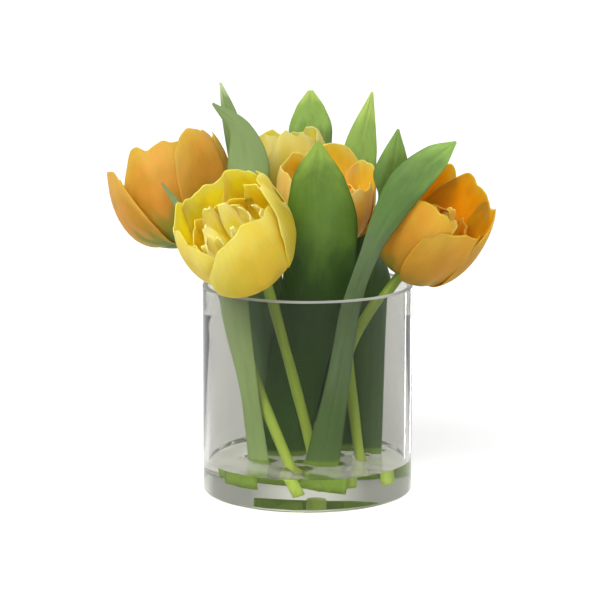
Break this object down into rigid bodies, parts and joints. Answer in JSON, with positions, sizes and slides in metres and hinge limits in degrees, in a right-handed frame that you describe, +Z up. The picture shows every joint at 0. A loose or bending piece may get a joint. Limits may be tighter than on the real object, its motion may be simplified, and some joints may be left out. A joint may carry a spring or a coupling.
{
  "type": "glass cylinder vase with faux tulips",
  "caption": "Straight clear glass cylinder vase, holding faux double tulips and leaves whose stems are set in clear cast resin.",
  "frame": {"origin": "centre of the underside of the glass vase, on the surface it stands on", "axes": "+Z up along the axis of the glass cylinder; -Y is the front, with the large yellow bloom at its left; +X to the right"},
  "size_m": [0.2264, 0.1856, 0.2422],
  "materials": {
    "clear_glass": "clear, polished",
    "cast_resin": "clear, glossy, cast in place",
    "stem_green": "satin, slightly waxy, light yellow-green",
    "hub_green": "matte",
    "leaf_sage": "soft satin with fine parallel veins, pale sage green",
    "leaf_green": "soft satin with fine parallel veins, fresh green",
    "leaf_deep": "soft satin with fine parallel veins, deep green",
    "petal_yellow": "soft coated fabric, yellow, deeper inside",
    "petal_cream": "soft coated fabric, pale yellow",
    "petal_orange": "soft coated fabric, warm orange, greener at the base"
  },
  "bodies": {
    "root": {"glass_vase": "clear_glass", "cast_water": "cast_resin", "front_yellow_stem": "stem_green", "front_yellow_hub": "hub_green", "front_yellow_inner_petals": "petal_yellow", "front_yellow_petal_1": "petal_yellow", "front_yellow_petal_2": "petal_yellow", "front_yellow_petal_3": "petal_yellow", "front_yellow_petal_4": "petal_yellow", "front_yellow_petal_5": "petal_yellow", "front_yellow_petal_6": "petal_yellow", "left_orange_stem": "stem_green", "left_orange_hub": "hub_green", "left_orange_inner_petals": "petal_orange", "left_orange_petal_1": "petal_orange", "left_orange_petal_2": "petal_orange", "left_orange_petal_3": "petal_orange", "left_orange_petal_4": "petal_orange", "left_orange_petal_5": "petal_orange", "left_orange_petal_6": "petal_orange", "centre_orange_stem": "stem_green", "centre_orange_hub": "hub_green", "centre_orange_inner_petals": "petal_orange", "centre_orange_petal_1": "petal_orange", "centre_orange_petal_2": "petal_orange", "centre_orange_petal_3": "petal_orange", "centre_orange_petal_4": "petal_orange", "centre_orange_petal_5": "petal_orange", "centre_orange_petal_6": "petal_orange", "back_yellow_stem": "stem_green", "back_yellow_hub": "hub_green", "back_yellow_inner_petals": "petal_cream", "back_yellow_petal_1": "petal_cream", "back_yellow_petal_2": "petal_cream", "back_yellow_petal_3": "petal_cream", "back_yellow_petal_4": "petal_cream", "back_yellow_petal_5": "petal_cream", "back_yellow_petal_6": "petal_cream", "right_orange_stem": "stem_green", "right_orange_hub": "hub_green", "right_orange_inner_petals": "petal_orange", "right_orange_petal_1": "petal_orange", "right_orange_petal_2": "petal_orange", "right_orange_petal_3": "petal_orange", "right_orange_petal_4": "petal_orange", "right_orange_petal_5": "petal_orange", "right_orange_petal_6": "petal_orange", "leaf_left_tall": "leaf_sage", "leaf_back_left": "leaf_deep", "leaf_left_spike": "leaf_sage", "leaf_back_centre": "leaf_green", "leaf_front_centre": "leaf_deep", "leaf_back_right": "leaf_green", "leaf_right_tall": "leaf_deep", "leaf_right_front": "leaf_green"}
  },
  "joints": []
}
